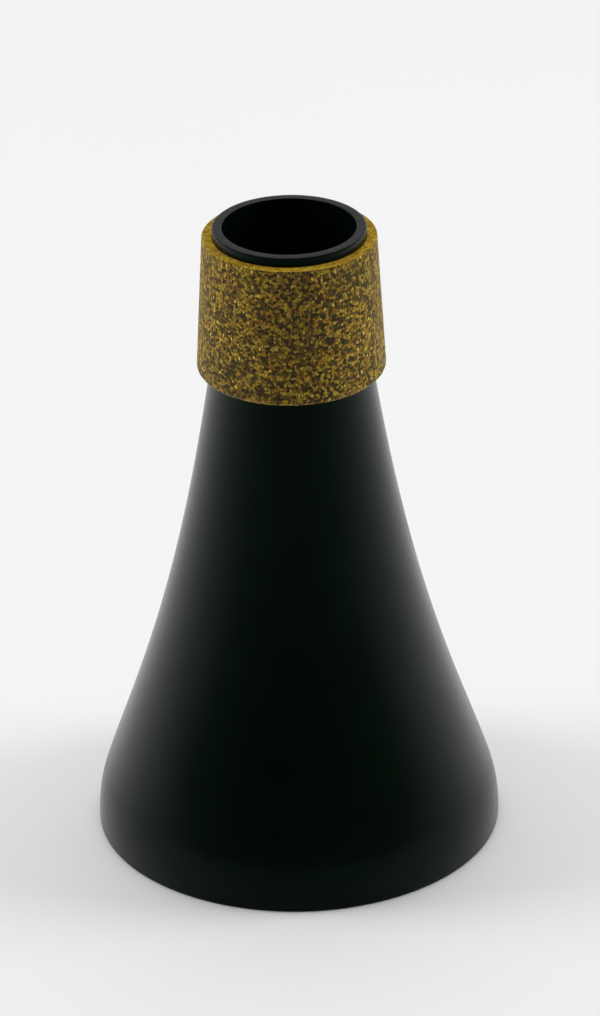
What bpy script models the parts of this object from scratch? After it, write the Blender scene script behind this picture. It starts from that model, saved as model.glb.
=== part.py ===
"""Practice mute for a piccolo trumpet.

A thin-walled flared shell carries a cork sleeve on its neck. The wide end is closed by a recessed cap, and
the cap holds the narrow tube through which the player's air leaves, with a felt ring round its foot.
Metres, +Z up. The mute stands on the rim of its shell, centred on the world origin.
"""

import math

import bmesh
import bpy
from mathutils import Vector

# Shell, outside, from the rim up
OVERALL_HEIGHT = 0.1125
BASE_RADIUS = 0.03505
BASE_EDGE_RADIUS = 0.0003
BASE_LAND = 0.0011  # upright band above the rim
SHOULDER_RADIUS = 0.0262  # convex turn from the band into the flare
FLARE_ANGLE = math.radians(18.3)  # from the axis, where the shoulder ends
THROAT_ANGLE = math.radians(8.5)  # from the axis, where the flare meets the neck
FLARE_LOWER_PULL = 0.205  # tangent lengths, as shares of the flare's chord
FLARE_UPPER_PULL = 0.56
THROAT_FILLET = 0.012
NECK_RADIUS = 0.01298  # at the lip
NECK_ANGLE = math.radians(2.0)
LIP_EDGE_RADIUS = 0.00026

# Shell, inside
WALL = 0.00168
BORE_EDGE_RADIUS = 0.0001
RIM_WALL = 0.002  # round the cap's socket
LEDGE_WIDTH = 0.0012  # step that the cap is pushed up against
LEDGE_HEIGHT = 0.0012

# Cork sleeve
LIP_STANDOUT = 0.00155  # how far the lip rises out of the cork
CORK_LENGTH = 0.0243
CORK_THICKNESS = 0.00146  # at its top face
CORK_ANGLE = math.radians(3.15)
CORK_TOP_EDGE_RADIUS = 0.0002
CORK_FOOT_EDGE_RADIUS = 0.0009
NECK_RUNOUT = 0.0007  # neck left below the cork

# Base cap
CAP_RECESS = 0.001  # from the rim up to the cap's underside
CAP_THICKNESS = 0.002
SPIGOT_HEIGHT = 0.004
SPIGOT_WALL = 0.0015
SPIGOT_LEAD_IN = 0.0005
BOSS_HEIGHT = 0.008
BOSS_WALL = 0.0016
BOSS_FILLET = 0.001
OUTLET_CHAMFER = 0.0006

# Air tube
TUBE_BORE_RADIUS = 0.0025
TUBE_WALL = 0.0012
TUBE_LENGTH = 0.056

# Felt ring
DAMPER_THICKNESS = 0.004
DAMPER_EDGE_RADIUS = 0.0008

# Clearances
GLUE_LINE = 0.00025
DAMPER_CLEARANCE = 0.0003

# Faces round the axis
SHELL_SEGMENTS = 96
CORK_SEGMENTS = 96
CAP_SEGMENTS = 64
DAMPER_SEGMENTS = 48
TUBE_SEGMENTS = 32

SHARP_ANGLE = math.radians(35)

# What follows from the sizes above
CORK_TOP = OVERALL_HEIGHT - LIP_STANDOUT
CORK_FOOT = CORK_TOP - CORK_LENGTH
NECK_FOOT = CORK_FOOT - NECK_RUNOUT
SOCKET_RADIUS = BASE_RADIUS - RIM_WALL
CAP_RADIUS = SOCKET_RADIUS - GLUE_LINE
CAP_TOP = CAP_RECESS + CAP_THICKNESS
LEDGE_FOOT = CAP_TOP + GLUE_LINE
LEDGE_RADIUS = SOCKET_RADIUS - LEDGE_WIDTH
SPIGOT_RADIUS = LEDGE_RADIUS - GLUE_LINE
TUBE_RADIUS = TUBE_BORE_RADIUS + TUBE_WALL
BOSS_BORE_RADIUS = TUBE_RADIUS + GLUE_LINE
BOSS_RADIUS = BOSS_BORE_RADIUS + BOSS_WALL


def neck_radius(z):
    """Outer radius of the bare neck at a height."""
    return NECK_RADIUS + math.tan(NECK_ANGLE) * (OVERALL_HEIGHT - z)


def arc(centre, radius, start, end, steps):
    """Points on an arc, as (r, z). Angles are in degrees from +r towards +z."""
    points = []
    for step in range(steps + 1):
        angle = math.radians(start + (end - start) * step / steps)
        points.append(centre + radius * Vector((math.cos(angle), math.sin(angle))))
    return points


def bezier(p0, p1, p2, p3, steps):
    """Points on a cubic curve, without its first."""
    points = []
    for step in range(1, steps + 1):
        t = step / steps
        u = 1 - t
        points.append(u**3 * p0 + 3 * u * u * t * p1 + 3 * u * t * t * p2 + t**3 * p3)
    return points


def fillet(before, corner, after, radius, steps):
    """A corner rounded off: points on the arc that touches both of its sides."""
    a = (before - corner).normalized()
    b = (after - corner).normalized()
    half = a.angle(b) / 2
    reach = min(
        radius / math.tan(half),
        0.45 * (before - corner).length,
        0.45 * (after - corner).length,
    )
    radius = reach * math.tan(half)
    centre = corner + (a + b).normalized() * (radius / math.sin(half))
    start = corner + a * reach - centre
    end = corner + b * reach - centre
    turn = start.angle_signed(end)
    points = []
    for step in range(steps + 1):
        angle = -turn * step / steps
        c, s = math.cos(angle), math.sin(angle)
        points.append(centre + Vector((start.x * c - start.y * s, start.x * s + start.y * c)))
    return points


def rounded(corners, radii, steps=2):
    """A closed outline whose corners are filleted where their radius isn't zero."""
    points = []
    for i, (corner, radius) in enumerate(zip(corners, radii)):
        if radius:
            after = corners[(i + 1) % len(corners)]
            points += fillet(corners[i - 1], corner, after, radius, steps)
        else:
            points.append(corner)
    return points


def offset_inwards(points, distance):
    """An open outline moved towards the axis, square to its own run. It runs upwards, as the given one does."""
    moved = []
    for i, point in enumerate(points):
        before = points[max(i - 1, 0)]
        after = points[min(i + 1, len(points) - 1)]
        run = (after - before).normalized()
        moved.append(point + Vector((-run.y, run.x)) * distance)
    return moved


def revolve(name, outline, segments, material, parent, z):
    """A ring with a closed outline of (r, z) points, turned about its own Z axis and set at a height."""
    mesh = bpy.data.meshes.new(name)
    bm = bmesh.new()
    rings = []
    for r, height in outline:
        ring = []
        for i in range(segments):
            angle = 2 * math.pi * i / segments
            ring.append(bm.verts.new((r * math.cos(angle), r * math.sin(angle), height)))
        rings.append(ring)
    for k, ring in enumerate(rings):
        following = rings[(k + 1) % len(rings)]
        for i in range(segments):
            j = (i + 1) % segments
            bm.faces.new((ring[i], ring[j], following[j], following[i])).smooth = True
    bmesh.ops.recalc_face_normals(bm, faces=bm.faces)
    for edge in bm.edges:
        edge.smooth = edge.calc_face_angle(0) < SHARP_ANGLE
    bm.to_mesh(mesh)
    bm.free()
    mesh.materials.append(material)
    piece = bpy.data.objects.new(name, mesh)
    piece.location.z = z
    piece.parent = parent
    bpy.context.collection.objects.link(piece)
    return piece


def principled(name, colour, roughness, metallic=0.0):
    material = bpy.data.materials.new(name)
    material.use_nodes = True
    material.diffuse_color = (*colour, 1)
    shader = material.node_tree.nodes["Principled BSDF"]
    shader.inputs["Base Color"].default_value = (*colour, 1)
    shader.inputs["Roughness"].default_value = roughness
    shader.inputs["Metallic"].default_value = metallic
    return material


def flare_outside():
    """The shell's outside from the top of its upright band to the lip, as one smooth run upwards."""
    centre = Vector((BASE_RADIUS - SHOULDER_RADIUS, BASE_LAND))
    shoulder = arc(centre, SHOULDER_RADIUS, 0, math.degrees(FLARE_ANGLE), 4)
    start = shoulder[-1]
    end = Vector((neck_radius(NECK_FOOT), NECK_FOOT))
    chord = (end - start).length
    lower = Vector((-math.sin(FLARE_ANGLE), math.cos(FLARE_ANGLE))) * chord * FLARE_LOWER_PULL
    upper = Vector((-math.sin(THROAT_ANGLE), math.cos(THROAT_ANGLE))) * chord * FLARE_UPPER_PULL
    flare = bezier(start, start + lower, end - upper, end, 11)
    lip = Vector((NECK_RADIUS, OVERALL_HEIGHT))
    throat = fillet(flare[-2], end, lip, THROAT_FILLET, 2)
    return shoulder + flare[:-1] + throat + [lip]


def clear_of_ledge(inside, ledge_top):
    """The part of the inner wall above the ledge's sloping top, which rises at 45 degrees to meet it."""

    def above(point):
        return (point.y - ledge_top) - (point.x - LEDGE_RADIUS)

    for i in range(1, len(inside)):
        low, high = above(inside[i - 1]), above(inside[i])
        if low < 0 <= high:
            meeting = inside[i - 1].lerp(inside[i], low / (low - high))
            return [meeting] + inside[i:]
    return inside


def make_body_shell(parent, plastic):
    outside = flare_outside()
    inside = clear_of_ledge(offset_inwards(outside, WALL), LEDGE_FOOT + LEDGE_HEIGHT)
    lip_out, lip_in = outside.pop(), inside.pop()
    lip_in.y = OVERALL_HEIGHT
    rim_out = Vector((BASE_RADIUS, 0))
    rim_in = Vector((SOCKET_RADIUS, 0))
    socket_top = Vector((SOCKET_RADIUS, LEDGE_FOOT))
    outline = fillet(rim_in, rim_out, outside[0], BASE_EDGE_RADIUS, 2)
    outline += outside
    outline += fillet(outside[-1], lip_out, lip_in, LIP_EDGE_RADIUS, 3)
    outline += fillet(lip_out, lip_in, inside[-1], BORE_EDGE_RADIUS, 2)
    outline += reversed(inside)
    outline += [
        Vector((LEDGE_RADIUS, LEDGE_FOOT + LEDGE_HEIGHT)),
        Vector((LEDGE_RADIUS, LEDGE_FOOT)),
        socket_top,
        rim_in,
    ]
    return revolve("body_shell", outline, SHELL_SEGMENTS, plastic, parent, 0)


def make_cork_collar(parent, cork):
    """The sleeve, drawn down from its top face, which is its own zero height."""

    def inner(z):
        return neck_radius(CORK_TOP + z) + GLUE_LINE

    top_outer = inner(0) + CORK_THICKNESS
    foot_outer = top_outer + math.tan(CORK_ANGLE) * CORK_LENGTH
    corners = [
        Vector((top_outer, 0)),
        Vector((foot_outer, -CORK_LENGTH)),
        Vector((inner(-CORK_LENGTH), -CORK_LENGTH)),
        Vector((inner(0), 0)),
    ]
    outline = rounded(corners, [CORK_TOP_EDGE_RADIUS, CORK_FOOT_EDGE_RADIUS, 0, 0], steps=3)
    return revolve("cork_collar", outline, CORK_SEGMENTS, cork, parent, CORK_TOP)


def make_base_cap(parent, plastic):
    """A dished disc: a spigot ring inside the shell, and a bored boss that holds the tube."""
    disc = CAP_THICKNESS
    spigot_top = disc + SPIGOT_HEIGHT
    spigot_inner = SPIGOT_RADIUS - SPIGOT_WALL
    boss_top = disc + BOSS_HEIGHT
    outline = [
        Vector((TUBE_BORE_RADIUS + OUTLET_CHAMFER, 0)),
        Vector((CAP_RADIUS, 0)),
        Vector((CAP_RADIUS, disc)),
        Vector((SPIGOT_RADIUS, disc)),
        Vector((SPIGOT_RADIUS, spigot_top - SPIGOT_LEAD_IN)),
        Vector((SPIGOT_RADIUS - SPIGOT_LEAD_IN, spigot_top)),
        Vector((spigot_inner, spigot_top)),
    ]
    inner_foot = Vector((spigot_inner, disc))
    boss_foot = Vector((BOSS_RADIUS, disc))
    boss_shoulder = Vector((BOSS_RADIUS, boss_top))
    outline += fillet(outline[-1], inner_foot, boss_foot, BOSS_FILLET, 2)
    outline += fillet(inner_foot, boss_foot, boss_shoulder, BOSS_FILLET, 2)
    outline += [
        boss_shoulder,
        Vector((BOSS_BORE_RADIUS, boss_top)),
        Vector((BOSS_BORE_RADIUS, disc)),
        Vector((TUBE_BORE_RADIUS, disc)),
        Vector((TUBE_BORE_RADIUS, OUTLET_CHAMFER)),
    ]
    return revolve("base_cap", outline, CAP_SEGMENTS, plastic, parent, CAP_RECESS)


def make_vent_tube(cap, plastic):
    """The tube stands on the shoulder at the foot of the boss's bore, and its mouth is rounded."""
    mouth_radius = TUBE_WALL / 2
    mouth = Vector((TUBE_BORE_RADIUS + mouth_radius, TUBE_LENGTH - mouth_radius))
    outline = [Vector((TUBE_BORE_RADIUS, 0)), Vector((TUBE_RADIUS, 0))]
    outline += arc(mouth, mouth_radius, 0, 180, 6)
    return revolve("vent_tube", outline, TUBE_SEGMENTS, plastic, cap, CAP_THICKNESS + GLUE_LINE)


def make_damping_ring(cap, felt):
    inner = BOSS_RADIUS + BOSS_FILLET + DAMPER_CLEARANCE
    outer = SPIGOT_RADIUS - SPIGOT_WALL - BOSS_FILLET - DAMPER_CLEARANCE
    corners = [
        Vector((inner, 0)),
        Vector((outer, 0)),
        Vector((outer, DAMPER_THICKNESS)),
        Vector((inner, DAMPER_THICKNESS)),
    ]
    outline = rounded(corners, [0, 0, DAMPER_EDGE_RADIUS, DAMPER_EDGE_RADIUS])
    seat = CAP_THICKNESS + DAMPER_CLEARANCE
    return revolve("damping_ring", outline, DAMPER_SEGMENTS, felt, cap, seat)


def main():
    for old in list(bpy.data.objects):
        bpy.data.objects.remove(old, do_unlink=True)

    mute = bpy.data.objects.new("mute", None)
    bpy.context.collection.objects.link(mute)

    shell = make_body_shell(mute, principled("shell_plastic", (0.004, 0.006, 0.005), 0.28))
    make_cork_collar(shell, principled("cork", (0.23, 0.15, 0.03), 0.85))
    cap = make_base_cap(shell, principled("cap_plastic", (0.005, 0.006, 0.006), 0.4))
    make_vent_tube(cap, principled("tube_plastic", (0.006, 0.006, 0.007), 0.35))
    make_damping_ring(cap, principled("felt", (0.035, 0.035, 0.038), 0.95))


main()
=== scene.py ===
"""Looks of the piccolo trumpet practice mute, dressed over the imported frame.

Every piece is built fine in mesh code from the driving sizes of the solids, takes the place of its CAD node,
and gets a procedural material. Only the small edges of the cap and the felt, the sleeve's fit on the neck and
the fine relief are this script's own. Metres, +Z up, the mute standing on its rim at the origin.
"""

import math

import bmesh
import bpy
from mathutils import Matrix, Vector, noise


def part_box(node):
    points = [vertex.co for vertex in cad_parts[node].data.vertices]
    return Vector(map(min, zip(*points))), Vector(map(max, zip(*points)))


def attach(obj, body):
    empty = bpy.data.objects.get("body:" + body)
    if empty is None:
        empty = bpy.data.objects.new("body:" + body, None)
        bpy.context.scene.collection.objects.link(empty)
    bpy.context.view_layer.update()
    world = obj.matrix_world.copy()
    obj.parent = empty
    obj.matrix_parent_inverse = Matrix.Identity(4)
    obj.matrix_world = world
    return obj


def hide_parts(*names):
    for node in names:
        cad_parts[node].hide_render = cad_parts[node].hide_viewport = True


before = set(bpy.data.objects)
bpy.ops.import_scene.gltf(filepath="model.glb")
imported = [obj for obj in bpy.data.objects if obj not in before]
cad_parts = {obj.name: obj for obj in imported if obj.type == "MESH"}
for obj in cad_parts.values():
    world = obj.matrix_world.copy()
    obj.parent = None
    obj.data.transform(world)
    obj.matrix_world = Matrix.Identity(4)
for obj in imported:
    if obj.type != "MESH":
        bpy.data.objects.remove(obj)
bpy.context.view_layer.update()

MM = 0.001

# Places and overall sizes, from the frame
SHELL_HIGH = Vector(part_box("body_shell")[1])
CORK_LOW, CORK_HIGH = (Vector(corner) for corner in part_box("cork_collar"))
CAP_LOW, CAP_HIGH = (Vector(corner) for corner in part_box("base_cap"))
TUBE_LOW, TUBE_HIGH = (Vector(corner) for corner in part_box("vent_tube"))
FELT_LOW, FELT_HIGH = (Vector(corner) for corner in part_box("damping_ring"))
OVERALL_HEIGHT = SHELL_HIGH.z
BASE_RADIUS = SHELL_HIGH.x

# Clearances of the solids
GLUE_LINE = 0.25 * MM
FELT_CLEARANCE = 0.3 * MM

# Shell, outside
BASE_EDGE_RADIUS = 0.3 * MM
BASE_LAND = 1.1 * MM
SHOULDER_RADIUS = 26.2 * MM
FLARE_ANGLE = math.radians(18.3)
THROAT_ANGLE = math.radians(8.5)
FLARE_LOWER_PULL = 0.205
FLARE_UPPER_PULL = 0.56
THROAT_FILLET = 12 * MM
NECK_RADIUS = 12.98 * MM
NECK_ANGLE = math.radians(2.0)
NECK_RUNOUT = 0.7 * MM
LIP_EDGE_RADIUS = 0.26 * MM
LIP_FACE_DEPTH = 0.05 * MM
LIP_FACE_UPWARD = 0.75

# Shell, inside
WALL = 1.68 * MM
BORE_EDGE_RADIUS = 0.1 * MM
RIM_WALL = 2 * MM
LEDGE_WIDTH = 1.2 * MM
LEDGE_HEIGHT = 1.2 * MM
CAP_THICKNESS = 2 * MM
SOCKET_RADIUS = BASE_RADIUS - RIM_WALL
LEDGE_RADIUS = SOCKET_RADIUS - LEDGE_WIDTH
LEDGE_FOOT = CAP_LOW.z + CAP_THICKNESS + GLUE_LINE

# Cork
CORK_THICKNESS = 1.46 * MM
CORK_ANGLE = math.radians(3.15)
CORK_TOP_EDGE_RADIUS = 0.2 * MM
CORK_FOOT_EDGE_RADIUS = 0.9 * MM
CORK_GLUE = 0.02 * MM  # the sleeve is drawn down onto its glue, closer than the solids' clearance
CORK_BORE_BAND = 0.3 * MM  # what lies this near the neck is the sleeve's inner wall, and stays plain
CORK_TOP_BAND = 0.05 * MM
# the cut end's upward faces, which take the painted highlight of the top
CORK_LIT_TOP_DEPTH = 0.14 * MM
CORK_LIT_TOP_UPWARD = 0.6
CORK_RELIEF = 0.07 * MM
CORK_LUMP_SIZE = 0.55 * MM
CORK_SWELL_SIZE = 2.4 * MM
CRUMB_SIZE = 0.5 * MM
CRUMB_BEND = 0.35 * MM
SEAM_ANGLE = math.radians(96)
SEAM_LEAN = math.radians(14)  # the scarf joint runs aslant down the sleeve
SEAM_WIDTH = 0.22 * MM
SEAM_DEPTH = 0.14 * MM

# Cap, tube and felt
SPIGOT_HEIGHT = 4 * MM
SPIGOT_WALL = 1.5 * MM
SPIGOT_LEAD_IN = 0.5 * MM
BOSS_WALL = 1.6 * MM
BOSS_FILLET = 1 * MM
CAP_EDGE_RADIUS = 0.25 * MM
CAP_TOP_EDGE_RADIUS = 0.2 * MM
CAP_BROKEN_EDGE = 0.1 * MM
OUTLET_CHAMFER = 0.6 * MM
TUBE_BORE_RADIUS = 2.5 * MM
FELT_EDGE_RADIUS = 0.9 * MM
FELT_FOOT_RADIUS = 0.3 * MM
FELT_FUZZ = 0.2 * MM
FELT_FLAT_FOOT = 0.2 * MM
FELT_MAT_SIZE = 1.1 * MM
FELT_FIBRE_SIZE = 0.4 * MM
SPIGOT_RADIUS = LEDGE_RADIUS - GLUE_LINE
TUBE_RADIUS = TUBE_HIGH.x
BOSS_BORE_RADIUS = TUBE_RADIUS + GLUE_LINE
BOSS_RADIUS = BOSS_BORE_RADIUS + BOSS_WALL
FELT_INNER = BOSS_RADIUS + BOSS_FILLET + FELT_CLEARANCE

# Fineness
SHELL_SEGMENTS = 256
CORK_SEGMENTS = 420
CORK_ROWS = 120
CAP_SEGMENTS = 192
TUBE_SEGMENTS = 96
FELT_SEGMENTS = 240
FELT_STEP = 0.5 * MM
SHOULDER_STEPS = 16
FLARE_STEPS = 72
THROAT_STEPS = 4
CORK_CORNER_STEPS = 6
CAP_CORNER_STEPS = 5
TUBE_MOUTH_STEPS = 16
FELT_CORNER_STEPS = 5
SHARP_ANGLE = math.radians(35)

# Camera, found from the photograph's ellipses and outline
CAMERA_PLACE = Vector((0, -0.8521, 0.5003))
CAMERA_PITCH = 0.4774  # down
CAMERA_YAW = 0.0012
CAMERA_ROLL = -0.0169
CAMERA_LENS = 198.4
CAMERA_SENSOR = 36
CAMERA_REACH = 50

# Studio. The world's stops go from the photographer's side, at 0, to behind the object, at 1.
WORLD_STOPS = ((0.0, 0.03), (0.3, 0.08), (0.5, 0.18), (0.64, 0.30), (0.81, 0.62), (0.9, 1.0))
FLOOR_REACH = 6.0
LAMP_TARGET = Vector((0, 0, 0.05))
LAMPS = (  # name, place, size, watts
    ("overhead", Vector((0, 0.2, 1.7)), 1.6, 13),
    ("left_side", Vector((-1.3, 0.15, 0.5)), 0.8, 11),
    ("right_side", Vector((1.3, 0.15, 0.5)), 0.8, 11),
)


def neck_radius(z):
    """Outer radius of the bare neck at a height."""
    return NECK_RADIUS + math.tan(NECK_ANGLE) * (OVERALL_HEIGHT - z)


def arc(centre, radius, start, end, steps):
    """Points on an arc, as (r, z). Angles are in degrees from +r towards +z."""
    points = []
    for step in range(steps + 1):
        angle = math.radians(start + (end - start) * step / steps)
        points.append(centre + radius * Vector((math.cos(angle), math.sin(angle))))
    return points


def bezier(p0, p1, p2, p3, steps):
    """Points on a cubic curve, without its first."""
    points = []
    for step in range(1, steps + 1):
        t = step / steps
        u = 1 - t
        points.append(u**3 * p0 + 3 * u * u * t * p1 + 3 * u * t * t * p2 + t**3 * p3)
    return points


def fillet(before, corner, after, radius, steps=8):
    """A corner rounded off: points on the arc that touches both of its sides."""
    a = (before - corner).normalized()
    b = (after - corner).normalized()
    half = a.angle(b) / 2
    reach = min(
        radius / math.tan(half),
        0.45 * (before - corner).length,
        0.45 * (after - corner).length,
    )
    radius = reach * math.tan(half)
    centre = corner + (a + b).normalized() * (radius / math.sin(half))
    start = corner + a * reach - centre
    end = corner + b * reach - centre
    turn = start.angle_signed(end)
    points = []
    for step in range(steps + 1):
        angle = -turn * step / steps
        c, s = math.cos(angle), math.sin(angle)
        points.append(centre + Vector((start.x * c - start.y * s, start.x * s + start.y * c)))
    return points


def rounded(corners, steps):
    """A closed outline from (r, z, radius) corners, filleted where the radius isn't zero."""
    places = [Vector((r, z)) for r, z, radius in corners]
    points = []
    for i, (r, z, radius) in enumerate(corners):
        if radius:
            after = places[(i + 1) % len(places)]
            points += fillet(places[i - 1], places[i], after, radius, steps)
        else:
            points.append(places[i])
    return points


def resampled(points, longest):
    """An open run with points added so that no step is longer than a given length."""
    finer = []
    for point, following in zip(points, points[1:]):
        parts = max(1, math.ceil((following - point).length / longest))
        for part in range(parts):
            finer.append(point.lerp(following, part / parts))
    finer.append(points[-1])
    return finer


def offset_inwards(points, distance):
    """An open outline moved towards the axis, square to its own run."""
    moved = []
    for i, point in enumerate(points):
        before = points[max(i - 1, 0)]
        after = points[min(i + 1, len(points) - 1)]
        run = (after - before).normalized()
        moved.append(point + Vector((-run.y, run.x)) * distance)
    return moved


def unevenness(place, size):
    """A smooth random value at a place, about 0 to 1, whose swells measure about size."""
    return 0.5 + 0.5 * noise.noise(place / size)


def revolve(name, outline, segments, shape=None):
    """A ring with a closed outline of (r, z) points. shape may move each vertex after it is placed."""
    mesh = bpy.data.meshes.new(name)
    bm = bmesh.new()
    rings = []
    for r, z in outline:
        ring = []
        for i in range(segments):
            angle = 2 * math.pi * i / segments
            place = Vector((r * math.cos(angle), r * math.sin(angle), z))
            ring.append(bm.verts.new(shape(place, angle) if shape else place))
        rings.append(ring)
    for k, ring in enumerate(rings):
        following = rings[(k + 1) % len(rings)]
        for i in range(segments):
            j = (i + 1) % segments
            bm.faces.new((ring[i], ring[j], following[j], following[i])).smooth = True
    bmesh.ops.recalc_face_normals(bm, faces=bm.faces)
    for edge in bm.edges:
        edge.smooth = edge.calc_face_angle(0) < SHARP_ANGLE
    bm.to_mesh(mesh)
    bm.free()
    piece = bpy.data.objects.new(name, mesh)
    bpy.context.collection.objects.link(piece)
    return piece


def set_in_place(piece, node, slot, *materials):
    """The piece stands for a CAD node, rides on the body and takes its materials."""
    for material in materials:
        piece.data.materials.append(material)
    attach(piece, "root")
    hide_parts(node)


def give_second_material(piece, lowest, upward):
    """Faces above a height that face upwards enough take the piece's second material."""
    for face in piece.data.polygons:
        face.material_index = int(face.center.z > lowest and face.normal.z > upward)


class Look:
    """A procedural material under construction: its node tree, its shader and the object's coordinates.

    Sizes are in metres. A value may be a number, a colour or another node's output.
    """

    def __init__(self, name, roughness, **constants):
        self.material = bpy.data.materials.new(name)
        self.material.use_nodes = True
        self.tree = self.material.node_tree
        self.shader = self.tree.nodes["Principled BSDF"]
        self.shader.inputs["Roughness"].default_value = roughness
        for socket, value in constants.items():
            self.shader.inputs[socket.replace("_", " ")].default_value = value
        self.place = self.add("ShaderNodeTexCoord").outputs["Object"]

    def add(self, kind, **settings):
        node = self.tree.nodes.new(kind)
        for key, value in settings.items():
            setattr(node, key, value)
        return node

    def wire(self, value, socket):
        if isinstance(value, bpy.types.NodeSocket):
            self.tree.links.new(value, socket)
        else:
            socket.default_value = value

    def noise(self, size, detail=4.0, roughness=0.55, distortion=0.0, place=None, output="Fac"):
        """Noise whose features measure about size."""
        node = self.add("ShaderNodeTexNoise")
        self.wire(place or self.place, node.inputs["Vector"])
        node.inputs["Scale"].default_value = 1 / size
        node.inputs["Detail"].default_value = detail
        node.inputs["Roughness"].default_value = roughness
        node.inputs["Distortion"].default_value = distortion
        return node.outputs[output]

    def cells(self, size, place=None, feature="F1"):
        """Cells about size across: a Voronoi node."""
        node = self.add("ShaderNodeTexVoronoi", feature=feature)
        self.wire(place or self.place, node.inputs["Vector"])
        node.inputs["Scale"].default_value = 1 / size
        return node

    def channels(self, colour):
        """Three separate random values from one random colour."""
        node = self.add("ShaderNodeSeparateColor")
        self.wire(colour, node.inputs[0])
        return node.outputs

    def ramp(self, value, *stops):
        """A colour ramp. Each stop is a position and a grey value or a colour."""
        node = self.add("ShaderNodeValToRGB")
        self.wire(value, node.inputs["Fac"])
        elements = node.color_ramp.elements
        while len(elements) < len(stops):
            elements.new(0.5)
        for element, (position, colour) in zip(elements, stops):
            element.position = position
            grey = isinstance(colour, (int, float))
            element.color = (colour, colour, colour, 1) if grey else (*colour, 1)
        return node.outputs["Color"]

    def mix(self, share, first, second):
        """first, with second laid over it by a share. The node's inputs 6 and 7 are its two colours."""
        node = self.add("ShaderNodeMix", data_type="RGBA")
        self.wire(share, node.inputs[0])
        for value, socket in ((first, node.inputs[6]), (second, node.inputs[7])):
            self.wire((*value, 1) if isinstance(value, tuple) else value, socket)
        return node.outputs[2]

    def math(self, operation, first, second):
        node = self.add("ShaderNodeMath", operation=operation)
        self.wire(first, node.inputs[0])
        self.wire(second, node.inputs[1])
        return node.outputs[0]

    def height(self):
        """Height above the ground."""
        split = self.add("ShaderNodeSeparateXYZ")
        self.wire(self.place, split.inputs[0])
        return split.outputs["Z"]

    def stretched(self, x, y, z, turn=0.0):
        """Coordinates scaled along each axis, and turned so that the stretch runs aslant."""
        node = self.add("ShaderNodeMapping")
        self.wire(self.place, node.inputs["Vector"])
        node.inputs["Scale"].default_value = (x, y, z)
        node.inputs["Rotation"].default_value = (turn, turn * 0.7, turn * 1.3)
        return node.outputs["Vector"]

    def bump(self, height, distance, strength=1.0, under=None):
        node = self.add("ShaderNodeBump")
        node.inputs["Distance"].default_value = distance
        node.inputs["Strength"].default_value = strength
        self.wire(height, node.inputs["Height"])
        if under:
            self.wire(under, node.inputs["Normal"])
        return node.outputs["Normal"]

    def finish(self, colour=None, roughness=None, normal=None):
        for value, name in ((colour, "Base Color"), (roughness, "Roughness"), (normal, "Normal")):
            if value is not None:
                self.wire(value, self.shader.inputs[name])
        return self.material


def shell_plastic():
    """Black moulded plastic with a faint green cast, a fine grain, handling smears and rubbed edges."""
    look = Look("shell_black", 0.24, IOR=1.46, Specular_Tint=(0.06, 0.10, 0.07, 1))
    cast = look.noise(11 * MM, 3.0)
    body = look.ramp(cast, (0.3, (0.0010, 0.0038, 0.0019)), (0.7, (0.0016, 0.0052, 0.0028)))
    z = look.height()
    from_lip = look.math("SUBTRACT", OVERALL_HEIGHT, z)
    foot = look.ramp(look.math("MULTIPLY", z, 1 / (2 * MM)), (0.0, 1.0), (0.55, 0.0))
    lip = look.ramp(look.math("MULTIPLY", from_lip, 1 / (2 * MM)), (0.0, 1.0), (0.25, 0.0))
    patches = look.ramp(look.noise(0.7 * MM, 6.0, 0.7), (0.5, 0.0), (0.66, 1.0))
    rubbed = look.math("MULTIPLY", look.math("MAXIMUM", foot, lip), patches)
    colour = look.mix(look.math("MULTIPLY", rubbed, 0.5), body, (0.020, 0.021, 0.021))
    speck = look.ramp(look.cells(1.9 * MM).outputs["Distance"], (0.02, 1.0), (0.045, 0.0))
    rare = look.ramp(look.noise(5 * MM, 2.0), (0.56, 0.0), (0.6, 0.4))
    colour = look.mix(look.math("MULTIPLY", speck, rare), colour, (0.05, 0.05, 0.047))
    smears = look.noise(9 * MM, 5.0, 0.6, 0.6, look.stretched(1, 1, 0.45))
    roughness = look.ramp(smears, (0.3, 0.22), (0.5, 0.24), (0.75, 0.28))
    roughness = look.mix(rubbed, roughness, (0.5, 0.5, 0.5))
    swell = look.bump(look.noise(3.2 * MM, 2.0), 0.02 * MM, 0.25)
    grain = look.bump(look.noise(0.16 * MM, 3.0, 0.6), 0.004 * MM, 0.5, swell)
    return look.finish(colour, roughness, grain)


def lip_plastic():
    """The flat face of the lip: turned off, so it is greyer and rougher, with fine rings."""
    look = Look("shell_lip", 0.5, IOR=1.46, Specular_IOR_Level=0.12)
    rings = look.add("ShaderNodeTexWave", wave_type="RINGS", rings_direction="Z")
    look.wire(look.place, rings.inputs["Vector"])
    rings.inputs["Scale"].default_value = 1 / (2.2 * MM)
    rings.inputs["Distortion"].default_value = 0.6
    rings.inputs["Detail"].default_value = 3
    grime = look.noise(0.5 * MM, 5.0, 0.65)
    colour = look.ramp(grime, (0.3, (0.008, 0.008, 0.009)), (0.7, (0.015, 0.012, 0.014)))
    roughness = look.ramp(look.noise(1.1 * MM, 3.0), (0.3, 0.38), (0.7, 0.5))
    turned = look.bump(rings.outputs["Fac"], 0.006 * MM, 0.5)
    grain = look.bump(look.noise(0.12 * MM, 3.0), 0.006 * MM, 0.6, turned)
    return look.finish(colour, roughness, grain)


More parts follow.
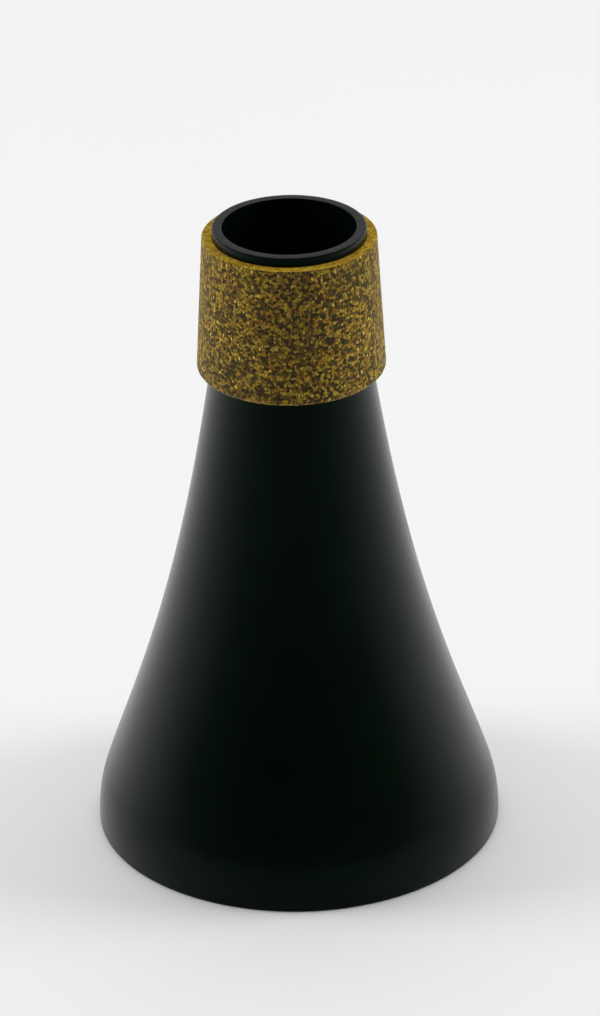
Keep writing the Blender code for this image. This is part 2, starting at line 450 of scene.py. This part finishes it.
def cork_crumbs(look, dark, middle, gold, orange):
    """Composition cork: crumbs of uneven brown in a dark binder. Gives its colour and its relief."""
    warp = look.add("ShaderNodeVectorMath", operation="MULTIPLY_ADD")
    look.wire(look.noise(0.6 * MM, 2.0, 0.5, output="Color"), warp.inputs[0])
    look.wire((CRUMB_BEND, CRUMB_BEND, CRUMB_BEND), warp.inputs[1])
    look.wire(look.place, warp.inputs[2])
    bent = warp.outputs["Vector"]
    tone, warmth, _ = look.channels(look.cells(CRUMB_SIZE, bent).outputs["Color"])
    colour = look.ramp(tone, (0.22, dark), (0.5, middle), (0.78, gold))
    colour = look.mix(look.ramp(warmth, (0.8, 0.0), (0.84, 0.65)), colour, orange)
    relief = look.cells(CRUMB_SIZE, bent, "DISTANCE_TO_EDGE").outputs["Distance"]
    binder = look.ramp(relief, (0.02, 1.0), (0.16, 0.0))
    return look.mix(look.math("MULTIPLY", binder, 0.6), colour, dark), relief


def cork():
    """The sleeve's outside, handled and darkened, with bright flakes and pores of a tenth of a millimetre."""
    look = Look(
        "cork_sleeve",
        0.8,
        Specular_IOR_Level=0.12,
        Sheen_Weight=0.22,
        Sheen_Roughness=0.5,
        Sheen_Tint=(1.0, 0.85, 0.5, 1),
    )
    colour, relief = cork_crumbs(
        look, (0.030, 0.022, 0.008), (0.145, 0.088, 0.013), (0.58, 0.385, 0.036), (0.46, 0.20, 0.018)
    )
    fine = look.noise(0.22 * MM, 4.0, 0.65)
    colour = look.mix(look.ramp(fine, (0.4, 0.75), (0.52, 0.0)), colour, (0.042, 0.028, 0.010))
    flake = look.cells(0.62 * MM, look.stretched(1.0, 1.0, 0.55, 0.6))
    bright = look.ramp(flake.outputs["Distance"], (0.16, 1.0), (0.3, 0.0))
    chosen = look.ramp(look.channels(flake.outputs["Color"])[2], (0.8, 0.0), (0.84, 1.0))
    colour = look.mix(look.math("MULTIPLY", bright, chosen), colour, (0.86, 0.68, 0.13))
    handled = look.ramp(look.noise(6 * MM, 3.0), (0.35, 0.3), (0.6, 0.0))
    colour = look.mix(handled, colour, (0.05, 0.036, 0.014))
    roughness = look.ramp(fine, (0.3, 0.9), (0.7, 0.7))
    lumps = look.bump(relief, 0.05 * MM, 0.8)
    pores = look.bump(look.noise(0.12 * MM, 4.0, 0.7), 0.03 * MM, 0.7, lumps)
    return look.finish(colour, roughness, pores)


def cork_cut_painted_lit():
    """The sleeve's cut end, painted brighter than its outside as if lit from above: a painted highlight on
    the upward faces.
    """
    look = Look("cork_cut_painted_lit", 0.85, Specular_IOR_Level=0.12)
    # colours of the cut end painted brighter than the outside's: a painted highlight, as if lit from above
    colour, relief = cork_crumbs(
        look, (0.24, 0.145, 0.014), (0.40, 0.26, 0.022), (0.56, 0.40, 0.034), (0.44, 0.22, 0.018)
    )
    fine = look.noise(0.2 * MM, 4.0, 0.6)
    colour = look.mix(look.ramp(fine, (0.35, 0.35), (0.6, 0.0)), colour, (0.20, 0.12, 0.014))
    lumps = look.bump(relief, 0.03 * MM, 0.6)
    return look.finish(colour, None, look.bump(fine, 0.02 * MM, 0.6, lumps))


def cap_plastic():
    """Matte black moulded plastic with a spark-eroded grain and scuffs."""
    look = Look("cap_black", 0.48, IOR=1.46)
    cast = look.noise(4 * MM, 4.0)
    colour = look.ramp(cast, (0.3, (0.0036, 0.0042, 0.0040)), (0.7, (0.0062, 0.0068, 0.0066)))
    scratches = look.noise(0.9 * MM, 7.0, 0.72, 0.0, look.stretched(0.25, 1, 1, 0.5))
    colour = look.mix(look.ramp(scratches, (0.6, 0.0), (0.7, 0.4)), colour, (0.022, 0.023, 0.023))
    roughness = look.ramp(look.noise(6 * MM, 4.0), (0.3, 0.42), (0.7, 0.56))
    return look.finish(colour, roughness, look.bump(look.noise(0.2 * MM, 3.0), 0.014 * MM, 0.8))


def tube_plastic():
    """Smooth extruded black plastic with faint lines along its length."""
    look = Look("tube_black", 0.34, IOR=1.46)
    lines = look.noise(0.35 * MM, 3.0, 0.6, 0.0, look.stretched(1, 1, 0.02))
    colour = look.ramp(lines, (0.3, (0.0045, 0.0048, 0.0052)), (0.7, (0.0075, 0.0078, 0.0084)))
    roughness = look.ramp(look.noise(3 * MM, 4.0), (0.3, 0.28), (0.7, 0.42))
    return look.finish(colour, roughness, look.bump(lines, 0.006 * MM, 0.6))


def felt():
    """Pressed wool felt, dark grey, with lighter stray fibres."""
    look = Look("felt_grey", 0.95, IOR=1.4, Sheen_Weight=0.5, Sheen_Roughness=0.6)
    strands = look.noise(0.5 * MM, 6.0, 0.75, 1.6, look.stretched(1, 1, 1.8, 0.4))
    colour = look.ramp(
        strands, (0.35, (0.018, 0.018, 0.020)), (0.6, (0.045, 0.045, 0.049)), (0.72, (0.12, 0.12, 0.125))
    )
    matted = look.bump(look.noise(1.3 * MM, 4.0, 0.6), 0.2 * MM, 0.6)
    return look.finish(colour, None, look.bump(strands, 0.08 * MM, 0.9, matted))


def floor_paint():
    """Plain pale paper."""
    look = Look("floor_pale", 0.9, Specular_IOR_Level=0.1)
    return look.finish(look.ramp(look.noise(0.4, 3.0), (0.3, 0.87), (0.7, 0.89)))


def flare_outside():
    """The shell's outside from the top of its upright band to the lip, as one smooth run upwards."""
    centre = Vector((BASE_RADIUS - SHOULDER_RADIUS, BASE_LAND))
    shoulder = arc(centre, SHOULDER_RADIUS, 0, math.degrees(FLARE_ANGLE), SHOULDER_STEPS)
    start = shoulder[-1]
    neck_foot = CORK_LOW.z - NECK_RUNOUT
    end = Vector((neck_radius(neck_foot), neck_foot))
    chord = (end - start).length
    lower = Vector((-math.sin(FLARE_ANGLE), math.cos(FLARE_ANGLE))) * chord * FLARE_LOWER_PULL
    upper = Vector((-math.sin(THROAT_ANGLE), math.cos(THROAT_ANGLE))) * chord * FLARE_UPPER_PULL
    flare = bezier(start, start + lower, end - upper, end, FLARE_STEPS)
    lip = Vector((NECK_RADIUS, OVERALL_HEIGHT))
    throat = fillet(flare[-2], end, lip, THROAT_FILLET, THROAT_STEPS)
    return shoulder + flare[:-1] + throat + [lip]


def clear_of_ledge(inside, ledge_top):
    """The points of the inner wall above the ledge's top, which slopes up at 45 degrees to meet it."""
    return [point for point in inside if point.y - ledge_top >= point.x - LEDGE_RADIUS]


def make_shell():
    """The thin-walled flare, with a socket and a ledge at its wide end."""
    outside = flare_outside()
    inside = clear_of_ledge(offset_inwards(outside, WALL), LEDGE_FOOT + LEDGE_HEIGHT)
    lip_out, lip_in = outside.pop(), inside.pop()
    lip_in.y = OVERALL_HEIGHT
    rim_out = Vector((BASE_RADIUS, 0))
    rim_in = Vector((SOCKET_RADIUS, 0))
    outline = fillet(rim_in, rim_out, outside[0], BASE_EDGE_RADIUS)
    outline += outside
    outline += fillet(outside[-1], lip_out, lip_in, LIP_EDGE_RADIUS)
    outline += fillet(lip_out, lip_in, inside[-1], BORE_EDGE_RADIUS)
    outline += reversed(inside)
    outline += [
        Vector((LEDGE_RADIUS, LEDGE_FOOT + LEDGE_HEIGHT)),
        Vector((LEDGE_RADIUS, LEDGE_FOOT)),
        Vector((SOCKET_RADIUS, LEDGE_FOOT)),
        rim_in,
    ]
    piece = revolve("shell_body", outline, SHELL_SEGMENTS)
    set_in_place(piece, "body_shell", "shell_plastic", shell_plastic(), lip_plastic())
    give_second_material(piece, OVERALL_HEIGHT - LIP_FACE_DEPTH, LIP_FACE_UPWARD)


def cork_surface(place, angle):
    """Small uneven relief of crumbs, sunk into the sleeve, with the groove of its scarf joint."""
    radius = place.xy.length
    if radius - neck_radius(place.z) - CORK_GLUE < CORK_BORE_BAND:
        return place
    lumps = unevenness(place, CORK_LUMP_SIZE)
    swell = unevenness(place, CORK_SWELL_SIZE)
    sink = CORK_RELIEF * (0.65 * lumps + 0.35 * swell)
    drop = CORK_HIGH.z - place.z
    across = (angle - SEAM_ANGLE) * radius - drop * math.tan(SEAM_LEAN)
    seam = SEAM_DEPTH * math.exp(-((across / SEAM_WIDTH) ** 2))
    if drop < CORK_TOP_BAND:
        return place - Vector((0, 0, sink * 0.7 + seam * 0.6))
    return place - Vector((place.x, place.y, 0)) / radius * (sink + seam)


def make_cork():
    """A tapered sleeve, with its cut end in a material of its own, painted brighter as if lit from above."""
    top, foot = CORK_HIGH.z, CORK_LOW.z
    length = top - foot
    top_outer = neck_radius(top) + GLUE_LINE + CORK_THICKNESS
    foot_outer = top_outer + math.tan(CORK_ANGLE) * length
    corners = [
        (neck_radius(top) + CORK_GLUE, top, 0),
        (top_outer, top, CORK_TOP_EDGE_RADIUS),
        (foot_outer, foot, CORK_FOOT_EDGE_RADIUS),
        (neck_radius(foot) + CORK_GLUE, foot, 0),
    ]
    outline = resampled(rounded(corners, CORK_CORNER_STEPS), length / CORK_ROWS)
    piece = revolve("cork_sleeve", outline, CORK_SEGMENTS, cork_surface)
    set_in_place(piece, "cork_collar", "cork", cork(), cork_cut_painted_lit())
    # the cut end's upward faces take the material painted brighter, as if lit from above
    give_second_material(piece, top - CORK_LIT_TOP_DEPTH, CORK_LIT_TOP_UPWARD)


def make_cap():
    """A dished disc: a spigot ring inside the shell, and a bored boss that holds the tube."""
    low, high = CAP_LOW.z, CAP_HIGH.z
    disc = low + CAP_THICKNESS
    spigot_top = disc + SPIGOT_HEIGHT
    spigot_inner = SPIGOT_RADIUS - SPIGOT_WALL
    corners = [
        (TUBE_BORE_RADIUS + OUTLET_CHAMFER, low, CAP_BROKEN_EDGE),
        (CAP_HIGH.x, low, CAP_EDGE_RADIUS),
        (CAP_HIGH.x, disc, 0),
        (SPIGOT_RADIUS, disc, 0),
        (SPIGOT_RADIUS, spigot_top - SPIGOT_LEAD_IN, CAP_BROKEN_EDGE),
        (SPIGOT_RADIUS - SPIGOT_LEAD_IN, spigot_top, CAP_BROKEN_EDGE),
        (spigot_inner, spigot_top, CAP_TOP_EDGE_RADIUS),
        (spigot_inner, disc, BOSS_FILLET),
        (BOSS_RADIUS, disc, BOSS_FILLET),
        (BOSS_RADIUS, high, CAP_TOP_EDGE_RADIUS),
        (BOSS_BORE_RADIUS, high, CAP_BROKEN_EDGE),
        (BOSS_BORE_RADIUS, disc, 0),
        (TUBE_BORE_RADIUS, disc, 0),
        (TUBE_BORE_RADIUS, low + OUTLET_CHAMFER, CAP_BROKEN_EDGE),
    ]
    piece = revolve("closing_cap", rounded(corners, CAP_CORNER_STEPS), CAP_SEGMENTS)
    set_in_place(piece, "base_cap", "cap_plastic", cap_plastic())


def make_tube():
    """A plain tube with a rounded mouth."""
    half_wall = (TUBE_RADIUS - TUBE_BORE_RADIUS) / 2
    mouth = Vector((TUBE_BORE_RADIUS + half_wall, TUBE_HIGH.z - half_wall))
    outline = [Vector((TUBE_BORE_RADIUS, TUBE_LOW.z)), Vector((TUBE_RADIUS, TUBE_LOW.z))]
    outline += arc(mouth, half_wall, 0, 180, TUBE_MOUTH_STEPS)
    piece = revolve("air_tube", outline, TUBE_SEGMENTS)
    set_in_place(piece, "vent_tube", "tube_plastic", tube_plastic())


def felt_surface(place, angle):
    """Matted unevenness, sunk into the felt so that it stays inside its own solid."""
    if place.z < FELT_LOW.z + FELT_FLAT_FOOT:
        return place
    matted = unevenness(place, FELT_MAT_SIZE)
    fine = unevenness(place, FELT_FIBRE_SIZE)
    sink = FELT_FUZZ * (0.7 * matted + 0.3 * fine)
    middle = Vector((place.x, place.y, 0)).normalized() * ((FELT_INNER + FELT_HIGH.x) / 2)
    middle.z = (FELT_LOW.z + FELT_HIGH.z) / 2
    return place + (middle - place).normalized() * sink


def make_felt():
    """A soft ring round the boss."""
    corners = [
        (FELT_INNER, FELT_LOW.z, FELT_FOOT_RADIUS),
        (FELT_HIGH.x, FELT_LOW.z, FELT_FOOT_RADIUS),
        (FELT_HIGH.x, FELT_HIGH.z, FELT_EDGE_RADIUS),
        (FELT_INNER, FELT_HIGH.z, FELT_EDGE_RADIUS),
    ]
    outline = rounded(corners, FELT_CORNER_STEPS)
    outline = resampled(outline + outline[:1], FELT_STEP)[:-1]
    piece = revolve("felt_washer", outline, FELT_SEGMENTS, felt_surface)
    set_in_place(piece, "damping_ring", "felt", felt())


def make_floor():
    mesh = bpy.data.meshes.new("floor")
    corners = [(FLOOR_REACH * x, FLOOR_REACH * y, 0) for x, y in ((-1, -1), (1, -1), (1, 1), (-1, 1))]
    mesh.from_pydata(corners, [], [(0, 1, 2, 3)])
    mesh.materials.append(floor_paint())
    floor = bpy.data.objects.new("floor", mesh)
    bpy.context.collection.objects.link(floor)


def make_camera():
    """The photographer's camera."""
    data = bpy.data.cameras.new("photo_camera")
    data.lens = CAMERA_LENS
    data.sensor_width = CAMERA_SENSOR
    data.clip_end = CAMERA_REACH
    camera = bpy.data.objects.new("photo_camera", data)
    bpy.context.collection.objects.link(camera)
    level_ahead = Vector((math.sin(CAMERA_YAW), math.cos(CAMERA_YAW), 0)) * math.cos(CAMERA_PITCH)
    ahead = level_ahead - Vector((0, 0, math.sin(CAMERA_PITCH)))
    level = Vector((math.cos(CAMERA_YAW), -math.sin(CAMERA_YAW), 0))
    rise = level.cross(ahead)
    right = math.cos(CAMERA_ROLL) * level + math.sin(CAMERA_ROLL) * rise
    up = -math.sin(CAMERA_ROLL) * level + math.cos(CAMERA_ROLL) * rise
    turn = Matrix((right, up, -ahead)).transposed()
    camera.matrix_world = Matrix.Translation(CAMERA_PLACE) @ turn.to_4x4()
    bpy.context.scene.camera = camera


def make_world():
    """A pale studio: bright behind the object, dimming towards the photographer's side."""
    world = bpy.data.worlds.new("studio")
    world.use_nodes = True
    tree = world.node_tree
    direction = tree.nodes.new("ShaderNodeTexCoord")
    along = tree.nodes.new("ShaderNodeVectorMath")
    along.operation = "DOT_PRODUCT"
    along.inputs[1].default_value = (0, 1, 0)
    span = tree.nodes.new("ShaderNodeMapRange")
    span.inputs["From Min"].default_value = -1
    span.inputs["From Max"].default_value = 1
    ramp = tree.nodes.new("ShaderNodeValToRGB")
    elements = ramp.color_ramp.elements
    while len(elements) < len(WORLD_STOPS):
        elements.new(0.5)
    for element, (position, value) in zip(elements, WORLD_STOPS):
        element.position = position
        element.color = (value, value, value, 1)
    tree.links.new(direction.outputs["Generated"], along.inputs[0])
    tree.links.new(along.outputs["Value"], span.inputs["Value"])
    tree.links.new(span.outputs["Result"], ramp.inputs["Fac"])
    tree.links.new(ramp.outputs["Color"], tree.nodes["Background"].inputs["Color"])
    bpy.context.scene.world = world


def make_lamp(name, place, size, watts):
    """A round soft lamp that lights the surfaces and isn't mirrored in them."""
    data = bpy.data.lights.new(name, "AREA")
    data.shape = "DISK"
    data.size = size
    data.energy = watts
    lamp = bpy.data.objects.new(name, data)
    lamp.location = place
    lamp.rotation_euler = (LAMP_TARGET - place).to_track_quat("-Z", "Y").to_euler()
    lamp.visible_glossy = False
    bpy.context.collection.objects.link(lamp)


def main():
    make_shell()
    make_cork()
    make_cap()
    make_tube()
    make_felt()
    make_floor()
    make_camera()
    make_world()
    for lamp in LAMPS:
        make_lamp(*lamp)
    bpy.context.scene.view_settings.view_transform = "Standard"


main()
